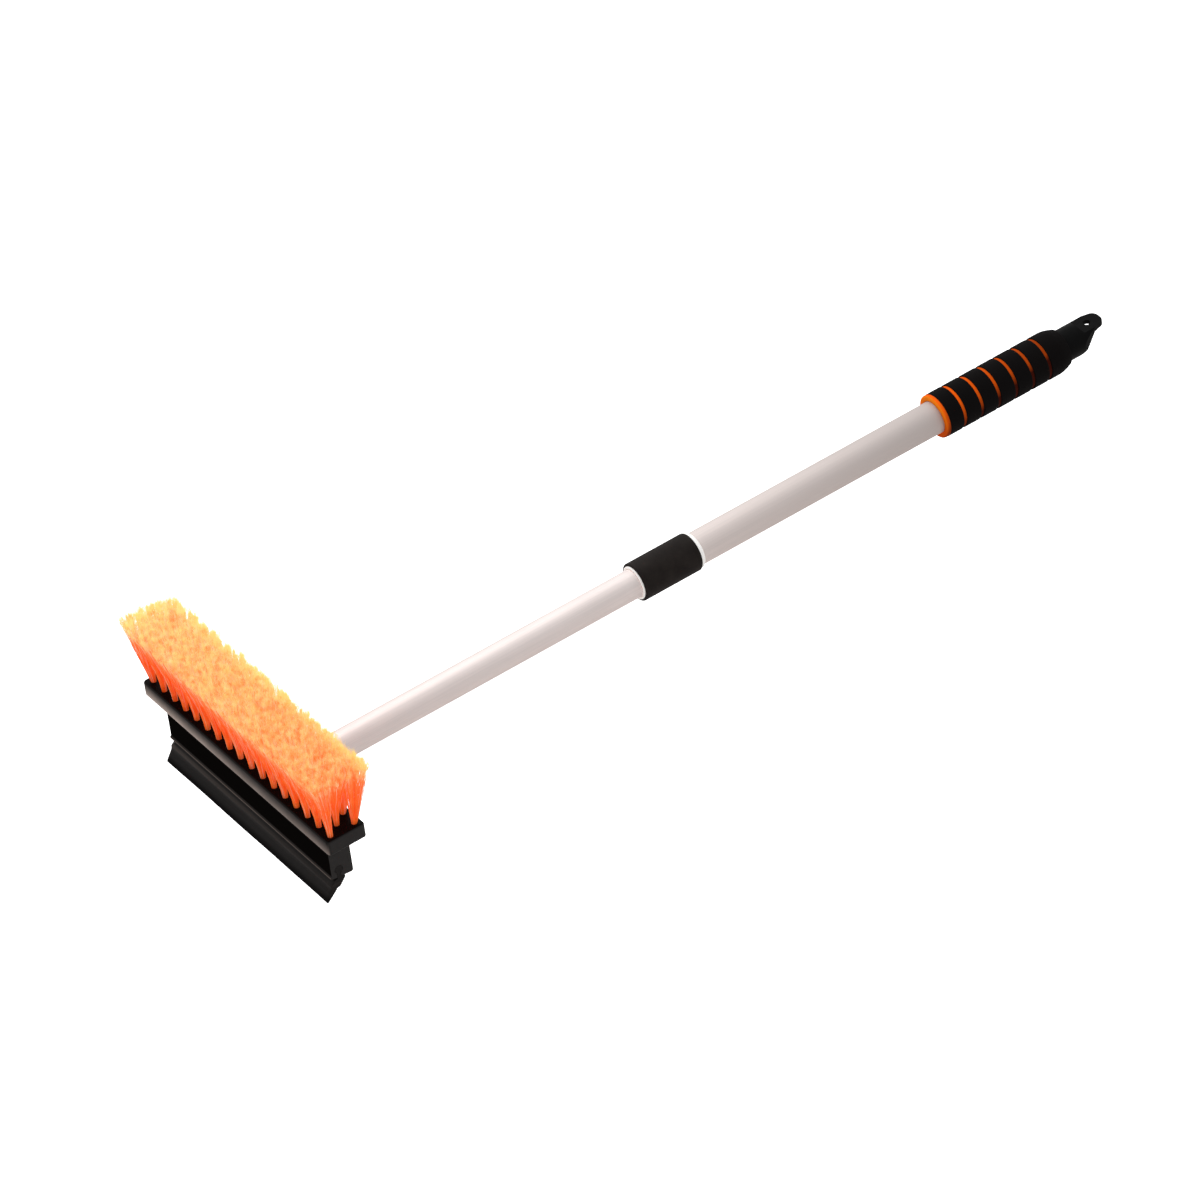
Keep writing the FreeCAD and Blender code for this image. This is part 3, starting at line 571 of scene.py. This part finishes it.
def disc_from_square(s, t):
    """Evenly maps points of the square from -1 to 1 onto the unit disc."""
    return s * np.sqrt(1 - t * t / 2), t * np.sqrt(1 - s * s / 2)


def scrambled(column, line, a, b, c):
    """A value from 0 to 1 for each grid cell that looks random but is always the same."""
    value = np.sin(column * a + line * b) * c
    return value - np.floor(value)


class BristleField:
    """The box that the tips fill, and the clumps that they gather in."""

    def __init__(self):
        low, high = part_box("front_tufts")
        self.root_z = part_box("head_body")[1].z
        self.top_z = high.z
        self.left_x = -high.x - END_REACH[0]
        self.right_x = high.x + END_REACH[1]
        self.front_y = low.y
        self.rear_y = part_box("rear_tufts")[1].y
        self.random = np.random.default_rng(7)

    def tip_targets(self, row, rows, column, columns, s, t):
        """Where the tips of one tuft end, spread over its share of the brush's top."""
        width = (self.right_x - self.left_x) / columns
        depth = (self.rear_y - self.front_y) / rows
        x = self.left_x + width * (column + 0.5) + s * width / 2 * OVERLAP
        y = self.front_y + depth * (row + 0.5) + t * depth / 2 * OVERLAP
        x = np.clip(x, self.left_x, self.right_x)
        y = np.clip(y, self.front_y, self.rear_y)
        return x, y

    def gather(self, x, y):
        """Pulls tips towards the middle of their clump, less so near the worn corner.

        Also gives each clump's lift, from 0 to 1.
        """
        column = np.floor(x / CLUMP)
        line = np.floor(y / CLUMP + 0.5 * np.mod(column, 2))
        spin = 2 * np.pi * scrambled(column, line, 12.9898, 78.233, 43758.5453)
        lift = scrambled(column, line, 39.346, 11.135, 24634.6345)
        middle_x = (column + 0.5 + CLUMP_STRAY * np.cos(spin)) * CLUMP
        middle_y = (line - 0.5 * np.mod(column, 2) + 0.5 + CLUMP_STRAY * np.sin(spin)) * CLUMP
        pull = CLUMP_PULL * (1 - 0.8 * np.clip(1 - (x - self.left_x) / CORNER_ZONE, 0, 1))
        return x + (middle_x - x) * pull, y + (middle_y - y) * pull, lift

    def ragged_rim(self, x, y, lift):
        """Clumps along the rim stick out or hang back by different amounts."""
        middle_x, half_x = (self.left_x + self.right_x) / 2, (self.right_x - self.left_x) / 2
        middle_y, half_y = (self.front_y + self.rear_y) / 2, (self.rear_y - self.front_y) / 2
        push = (lift - 0.45) * RAGGED
        out_x, out_y = (x - middle_x) / half_x, (y - middle_y) / half_y
        return x + push * out_x ** 9, y + push * out_y ** 3

    def worn_corner(self, x, y):
        """How far a tip belongs to the splayed left front corner, from 0 to 1."""
        end = np.clip(1 - (x - self.left_x) / CORNER_ZONE, 0, 1)
        front = np.clip(1.15 - (y - self.front_y) / (self.rear_y - self.front_y), 0.15, 1)
        return end * front

    def edge_drop(self, x, y):
        """The brush's top rounds down a little along its rim."""
        inset_x = np.clip(np.minimum(x - self.left_x, self.right_x - x) / RIM_ZONE_X, 0, 1)
        middle = (self.front_y + self.rear_y) / 2
        half = (self.rear_y - self.front_y) / 2
        inset_y = np.clip((half - np.abs(y - middle)) / RIM_ZONE_Y, 0, 1)
        return RIM_DROP * (1 - inset_x) ** 2 + RIM_DROP * (1 - inset_y) ** 2


def fibre_paths(field, rows, row):
    """Centre lines of every fibre in a row of tufts: an array (fibre, point, xyz)."""
    pick = field.random
    feet = rows[row]
    share = np.linspace(0.0, 1.0, FIBRE_POINTS)
    all_paths = []
    for column, (foot_x, foot_y) in enumerate(feet):
        s, t = pick.uniform(-1, 1, (2, FIBRES_PER_TUFT))
        disc_x, disc_y = disc_from_square(s, t)
        root_x = foot_x + disc_x * FOOT_RADIUS
        root_y = foot_y + disc_y * FOOT_RADIUS
        tip_x, tip_y = field.tip_targets(row, len(rows), column, len(feet), s, t)
        tip_x = tip_x + pick.normal(0, TIP_SCATTER, FIBRES_PER_TUFT)
        tip_y = tip_y + pick.normal(0, TIP_SCATTER, FIBRES_PER_TUFT)
        tip_x, tip_y, lift = field.gather(tip_x, tip_y)
        tip_x, tip_y = field.ragged_rim(tip_x, tip_y, lift)
        corner = field.worn_corner(tip_x, tip_y)
        tip_z = field.top_z - TIP_SETBACK - field.edge_drop(tip_x, tip_y)
        tip_z = tip_z + (lift - 0.6) * HEIGHT_SPREAD - pick.uniform(0, TIP_UNEVEN, FIBRES_PER_TUFT)
        tip_z = tip_z + corner * CORNER_RISE
        tip_x = tip_x - corner * CORNER_REACH
        root_z = np.full(FIBRES_PER_TUFT, field.root_z - ROOT_DEPTH)
        rear_corner = row == len(rows) - 1 and column >= len(feet) - 2
        spread = share ** (END_FLARE if column == 0 or rear_corner else FLARE)
        path = np.empty((FIBRES_PER_TUFT, FIBRE_POINTS, 3))
        for axis, (root, tip) in enumerate(((root_x, tip_x), (root_y, tip_y))):
            path[:, :, axis] = root[:, None] + (tip - root)[:, None] * spread[None, :]
        path[:, :, 2] = root_z[:, None] + (tip_z - root_z)[:, None] * share[None, :]
        phase, heading = pick.uniform(0, 2 * np.pi, (2, FIBRES_PER_TUFT))
        swing = CRIMP * np.sin(2 * np.pi * CRIMP_WAVES * share[None, :] + phase[:, None])
        swing = swing * np.clip(share * 1.6, 0, 1)[None, :]
        path[:, :, 0] += swing * np.cos(heading)[:, None]
        path[:, :, 1] += swing * np.sin(heading)[:, None]
        all_paths.append(path)
    return np.concatenate(all_paths)


def fibre_mesh(name, paths, radius, turn, tone):
    """Thin closed rods along the paths; tone is kept as a value at each point."""
    fibres, points, _ = paths.shape
    corner = 2 * np.pi * np.arange(FIBRE_SIDES) / FIBRE_SIDES
    angle = turn[:, None, None] + corner[None, None, :]
    ring = np.zeros((fibres, points, FIBRE_SIDES, 3))
    ring[..., 0] = np.cos(angle)
    ring[..., 1] = np.sin(angle)
    verts = paths[:, :, None, :] + ring * radius
    base = np.arange(fibres)[:, None, None] * points * FIBRE_SIDES
    level = np.arange(points - 1)[None, :, None] * FIBRE_SIDES
    side = np.arange(FIBRE_SIDES)[None, None, :]
    after = (side + 1) % FIBRE_SIDES
    low, low_after = base + level + side, base + level + after
    quads = np.stack([low, low_after, low_after + FIBRE_SIDES, low + FIBRE_SIDES], -1)
    foot = np.arange(fibres)[:, None] * points * FIBRE_SIDES
    bottom = foot + np.array([[2, 1, 0]])
    top = foot + (points - 1) * FIBRE_SIDES + np.array([[0, 1, 2]])
    mesh = mesh_from_arrays(name, verts.reshape(-1, 3), quads.reshape(-1, 4),
                            np.concatenate([bottom, top]))
    keep_tone(mesh, np.repeat(tone, points * FIBRE_SIDES))
    return mesh


def keep_tone(mesh, values):
    layer = mesh.attributes.new("tone", "FLOAT", "POINT")
    layer.data.foreach_set("value", values.astype(np.float32))


def frayed_tip_mesh(name, paths, pick, tone):
    """Each fibre's flagged end: a few fine needles that fan out from its tip."""
    ends = np.repeat(paths[:, -1, :], TIPS_PER_FIBRE, axis=0)
    before = np.repeat(paths[:, -2, :], TIPS_PER_FIBRE, axis=0)
    count = len(ends)
    back = pick.uniform(0, 0.8, count)[:, None]
    ends = ends + (before - ends) * back
    heading = pick.uniform(0, 2 * np.pi, count)
    out = pick.uniform(0.2, 1.0, count) * TIP_SPREAD
    rise = TIP_LENGTH * pick.uniform(0.25, 0.9, count)
    apex = ends + np.stack([np.cos(heading) * out, np.sin(heading) * out, rise], -1)
    corner = 2 * np.pi * np.arange(3) / 3
    angle = heading[:, None] + corner[None, :]
    foot = np.repeat(ends[:, None, :], 3, axis=1)
    foot[:, :, 0] += np.cos(angle) * FIBRE_RADIUS * NEEDLE_SHARE
    foot[:, :, 1] += np.sin(angle) * FIBRE_RADIUS * NEEDLE_SHARE
    foot[:, :, 2] -= NEEDLE_SINK
    verts = np.concatenate([foot, apex[:, None, :]], axis=1)
    start = np.arange(count)[:, None] * 4
    faces = [start + np.array([corners]) for corners in ((0, 1, 3), (1, 2, 3), (2, 0, 3), (2, 1, 0))]
    mesh = mesh_from_arrays(name, verts.reshape(-1, 3), np.zeros((0, 4), int),
                            np.concatenate(faces))
    keep_tone(mesh, np.repeat(tone, TIPS_PER_FIBRE * 4))
    return mesh


def build_bristles():
    field = BristleField()
    rows = tuft_feet()
    material = bristle_fibre("bristle_fibre", field.root_z, field.top_z, field.right_x,
                             field.rear_y)
    for row, label in enumerate(("front", "middle", "rear")):
        paths = fibre_paths(field, rows, row)
        turn = field.random.uniform(0, 2 * np.pi, len(paths))
        tone = field.random.uniform(0, 1, len(paths)) ** 2
        tone[field.random.uniform(0, 1, len(paths)) < PALE_SHARE] = -1.0
        body = fibre_mesh(label + "_bristles", paths, FIBRE_RADIUS, turn, tone)
        add_piece(label + "_bristles", body, material, HEAD, [label + "_tufts"])
        tips = frayed_tip_mesh(label + "_bristle_tips", paths, field.random, tone)
        add_piece(label + "_bristle_tips", tips, material, HEAD)


# ---------------------------------------------------------------- squeegee blade
def blade_outline():
    """Section of the blade in millimetres behind its front and above its bottom."""
    lip = [(11.3, 16.6), (8.6, 16.3), (8.0, 15.6), (7.8, 14.5), (6.0, 13.0), (5.45, 12.3),
           (5.35, 11.0), (5.2, 9.7), (4.2, 7.9), (2.7, 5.5), (1.2, 3.1), (0.35, 1.7)]
    underside = [(1.0, 0.15), (8.6, 7.0), (9.3, 7.7), (9.7, 8.4), (10.3, 8.8), (12.3, 9.2),
                 (13.0, 9.6), (17.0, 14.4), (17.7, 15.4), (17.8, 16.4), (17.2, 16.9)]
    tip = arc((0.65, 0.7), 0.62, 170, 290, 5)
    bulb_middle = (13.2, 24.3)
    stem_half = 1.9
    bulb_radius = 3.3
    lean = math.degrees(math.asin(stem_half / bulb_radius))
    stem_right = [(bulb_middle[0] + stem_half, 17.0)]
    bulb = arc(bulb_middle, bulb_radius, -90 + lean, 270 - lean, 20)
    return lip + tip + underside + stem_right + bulb


def build_blade(material):
    low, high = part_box("squeegee_blade")
    outline = [(low.y + y * MM, low.z + z * MM) for y, z in blade_outline()]
    count = len(outline)
    verts = []
    for station in range(BLADE_STATIONS):
        x = low.x + (high.x - low.x) * station / (BLADE_STATIONS - 1)
        for y, z in outline:
            freedom = max(0.0, 1.0 - (z - low.z) / BLADE_FREE)
            sway = BLADE_SWAY * noise.noise(Vector((x * 28.0, 3.1, 0.4)))
            wave = BLADE_WAVE * noise.noise(Vector((x * 45.0, 9.0, 0)))
            verts.append((x, y + freedom * sway + BLADE_SWAY * freedom * freedom,
                          z + freedom * wave))
    quads = []
    for station in range(BLADE_STATIONS - 1):
        here, after = station * count, (station + 1) * count
        for i in range(count):
            j = (i + 1) % count
            quads.append((here + i, here + j, after + j, after + i))
    last = (BLADE_STATIONS - 1) * count
    ends = [tuple(reversed(range(count))), tuple(range(last, last + count))]
    mesh = bpy.data.meshes.new("squeegee_strip")
    mesh.from_pydata(verts, [], quads + ends)
    mesh.update()
    for polygon in mesh.polygons:
        polygon.use_smooth = len(polygon.vertices) == 4
    piece = add_piece("squeegee_strip", mesh, material, HEAD, ["squeegee_blade"])
    bevel = piece.modifiers.new("soft_edges", "BEVEL")
    bevel.width = BLADE_EDGE
    bevel.segments = 2
    bevel.limit_method = "ANGLE"
    bevel.angle_limit = math.radians(55)


# ---------------------------------------------------------------- foam grip
def band_ranges():
    """Start and end of each black band, from the CAD rings' own end faces."""
    levels = sorted({round(vertex.co.y, 5) for vertex in NODES["grip_bands"].data.vertices})
    starts = levels[0:2 * BAND_COUNT:2]
    ends = levels[1:2 * BAND_COUNT - 1:2] + [levels[-1]]
    return list(zip(starts, ends))


def grip_sizes():
    low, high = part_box("grip_bands")
    centre_z = (low.z + high.z) / 2
    radius = (high.z - low.z) / 2
    return centre_z, radius


def straight(start, end, step=1.0 * MM):
    """Points between two section points, ends left out, so that foam can ripple."""
    length = math.hypot(end[0] - start[0], end[1] - start[1])
    count = max(1, int(length / step))
    return [(start[0] + (end[0] - start[0]) * i / count, start[1] + (end[1] - start[1]) * i / count)
            for i in range(1, count)]


def quarter_round(radius, rear_radius, start, end, steps):
    """Section points of a shoulder that rounds down from one radius to a smaller one."""
    points = []
    for i in range(steps + 1):
        turn = math.radians(90.0 * i / steps)
        points.append((rear_radius + (radius - rear_radius) * math.cos(turn),
                       start + (end - start) * i / steps))
    return points


def band_section(start, end, inner, outer, rear=None):
    """Closed (radius, y) section of one band with soft outer edges."""
    edge = BAND_EDGE
    section = [(inner, start)] + arc((outer - edge, start + edge), edge, 270, 360)
    if rear is None:
        section += straight((outer, start + edge), (outer, end - edge))
        section += arc((outer - edge, end - edge), edge, 0, 90)
        return section + [(inner, end)]
    shoulder, rear_outer, rear_inner = rear
    section += straight((outer, start + edge), (outer, shoulder))
    section += quarter_round(outer, rear_outer, shoulder, end, BAND_REAR_STEPS)
    return section + quarter_round(inner, rear_inner, shoulder, end, BAND_REAR_STEPS)[::-1]


def build_grip(black, orange):
    centre_z, outer = grip_sizes()
    inner = outer - BAND_THICKNESS
    bands = band_ranges()
    sections = []
    for start, end in bands[:-1]:
        sections.append(band_section(start, end, inner, outer))
    start, end = bands[-1]
    sections.append(band_section(start, end, inner, outer,
                                 rear=(end - REAR_LENGTH, outer - BAND_REAR_DROP,
                                       inner - CORE_REAR_DROP)))
    for i, section in enumerate(sections):
        name = f"grip_band_{i + 1}"
        mesh = lathe(name, section, centre_z, seed=5.0 * i)
        nodes = ["grip_bands"] if i == 0 else []
        add_piece(name, mesh, black, HANDLE, nodes)
    build_core(orange, centre_z, inner, outer)


def build_core(orange, centre_z, inner, outer):
    """Orange tube under the bands, with the rounded collar that shows at the front."""
    low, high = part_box("grip_core")
    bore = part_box("outer_pole")[1].x + BORE_GAP
    face_end = low.y + FACE_LENGTH
    rim = outer - RIM_INSET
    section = [(bore, low.y + BORE_BEVEL), (bore + BORE_BEVEL, low.y)]
    section += straight(section[-1], (rim - RIM_ROUND, low.y))
    section += arc((rim - RIM_ROUND, low.y + RIM_ROUND), RIM_ROUND, 270, 360)
    section += [(rim, face_end - RIM_TUCK), (inner, face_end)]
    shoulder = high.y - REAR_LENGTH
    section += straight((inner, face_end), (inner, shoulder))
    section += quarter_round(inner, inner - CORE_REAR_DROP, shoulder, high.y, CORE_REAR_STEPS)
    section += [(bore, high.y)]
    mesh = lathe("grip_core_foam", section, centre_z, seed=50.0)
    add_piece("grip_core_foam", mesh, orange, HANDLE, ["grip_core"])


# ---------------------------------------------------------------- stage
def sight_axes():
    """Camera axes: right, up and back towards the camera, before the roll."""
    turn, lift = math.radians(CAMERA_AZIMUTH), math.radians(CAMERA_ELEVATION)
    back = Vector((math.sin(turn) * math.cos(lift), -math.cos(turn) * math.cos(lift),
                   math.sin(lift)))
    right = Vector((math.cos(turn), math.sin(turn), 0))
    return right, back.cross(right), back


def add_camera():
    right, up, back = sight_axes()
    data = bpy.data.cameras.new("camera")
    data.lens = CAMERA_LENS
    data.sensor_width = 36.0
    data.clip_end = 50.0
    camera = bpy.data.objects.new("camera", data)
    bpy.context.scene.collection.objects.link(camera)
    facing = Matrix((right, up, back)).transposed().to_4x4()
    roll = Matrix.Rotation(math.radians(CAMERA_ROLL), 4, "Z")
    camera.matrix_world = Matrix.Translation(CAMERA_AIM + back * CAMERA_DISTANCE) @ facing @ roll
    bpy.context.scene.camera = camera


def add_softbox():
    data = bpy.data.lights.new("softbox", "AREA")
    data.shape = "DISK"
    data.size = SOFTBOX_SIZE
    data.energy = SOFTBOX_POWER
    light = bpy.data.objects.new("softbox", data)
    bpy.context.scene.collection.objects.link(light)
    light.location = SOFTBOX_PLACE
    sight = Vector(SOFTBOX_AIM) - Vector(SOFTBOX_PLACE)
    light.rotation_euler = sight.to_track_quat("-Z", "Y").to_euler()


def add_floor():
    """White card: fully white where the camera looks at it, greyer in reflections."""
    level = CAD_BOX[0][2] - FLOOR_BELOW
    mesh = bpy.data.meshes.new("floor")
    corners = [(x * FLOOR_REACH, y * FLOOR_REACH, level)
               for x, y in ((-1, -1), (1, -1), (1, 1), (-1, 1))]
    mesh.from_pydata(corners, [], [(0, 1, 2, 3)])
    mesh.update()
    paint = Finish("pale_floor", srgb(250, 250, 250), 0.8, specular=0.0)
    seen = paint.node("ShaderNodeLightPath").outputs["Is Camera Ray"]
    paint.drive("Base Color", paint.blend(seen, (0.80, 0.77, 0.755, 1.0), (0.95, 0.95, 0.95, 1.0)))
    paint.set("Emission Color", (1.0, 1.0, 1.0, 1.0))
    paint.drive("Emission Strength", paint.math("MULTIPLY", seen, FLOOR_GLOW))
    mesh.materials.append(paint.material)
    floor = bpy.data.objects.new("floor", mesh)
    bpy.context.scene.collection.objects.link(floor)


def add_world():
    """Soft room light, brighter towards the window side."""
    world = bpy.data.worlds.new("studio")
    bpy.context.scene.world = world
    world.use_nodes = True
    nodes, links = world.node_tree.nodes, world.node_tree.links
    background = nodes["Background"]
    background.inputs["Color"].default_value = (1.0, 1.0, 1.0, 1.0)
    facing = nodes.new("ShaderNodeVectorMath")
    facing.operation = "DOT_PRODUCT"
    facing.inputs[1].default_value = WINDOW_SIDE
    links.new(nodes.new("ShaderNodeTexCoord").outputs["Generated"], facing.inputs[0])
    level = nodes.new("ShaderNodeMapRange")
    level.interpolation_type = "SMOOTHSTEP"
    for socket, value in zip(("From Min", "From Max", "To Min", "To Max"),
                             (*ROOM_TURN, ROOM_DIM, ROOM_BRIGHT)):
        level.inputs[socket].default_value = value
    links.new(facing.outputs["Value"], level.inputs["Value"])
    links.new(level.outputs["Result"], background.inputs["Strength"])


def add_light():
    add_world()
    add_softbox()
    bpy.context.scene.view_settings.view_transform = "Standard"
    bpy.context.scene.view_settings.look = "None"


# ---------------------------------------------------------------- assembly
def finish_hard_pieces():
    head_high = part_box("head_body")[1]
    web_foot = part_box("squeegee_blade")[0].z + BLADE_HANG
    head_black = head_plastic("head_plastic", head_high.z - FLANGE_THICKNESS, head_high.z,
                              web_foot, head_high.x)
    finish_nodes(head_black, "head_body")
    soften_edges(HEAD_EDGE, "head_body")
    cap_black = moulded_plastic("cap_plastic", srgb(5, 5, 5), 0.5, specular=0.06)
    finish_nodes(cap_black, "end_cap")
    soften_edges(CAP_EDGE, "end_cap")
    finish_nodes(satin_aluminium("pole_aluminium", srgb(243, 233, 230), 0.6, 0.7), "inner_pole")
    pole_low, pole_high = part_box("outer_pole")
    finish_nodes(satin_aluminium("outer_pole_aluminium", srgb(238, 227, 223), 0.62, 0.5,
                                 (pole_low.y, pole_high.y, 0.57)), "outer_pole")
    bush_white = white_nylon("bush_nylon", srgb(252, 250, 247), glow=0.12)
    finish_nodes(bush_white, "guide_bush", "stop_sleeve")
    finish_nodes(white_nylon("lock_nylon", srgb(186, 184, 178)), "cam_plug", "cam_ring",
                 "pole_nose_plug")
    finish_nodes(plated_steel("zinc_steel"), "tuft_anchors", "blade_pins", "socket_screws",
                 "cam_washer", "cam_screw")
    finish_nodes(satin_aluminium("rivet_aluminium", srgb(200, 200, 200), 0.3),
                 "cam_plug_rivets", "cap_rivets")
    finish_nodes(sleeve_rubber("collar_rubber"), "collar_sleeve")


finish_hard_pieces()
build_bristles()
build_blade(blade_rubber("blade_rubber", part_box("squeegee_blade")[0].z))
grip_low, grip_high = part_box("grip_bands")
build_grip(foam("black_foam", srgb(11, 8, 8), srgb(2, 2, 2)),
           foam("orange_foam", srgb(255, 100, 8), srgb(216, 62, 4),
                painted_shade_span=(grip_low.y + 10 * MM, grip_high.y, srgb(62, 13, 2)),
                face=(grip_low.z + 12 * MM, grip_high.z, srgb(255, 138, 20))))
add_floor()
add_light()
add_camera()
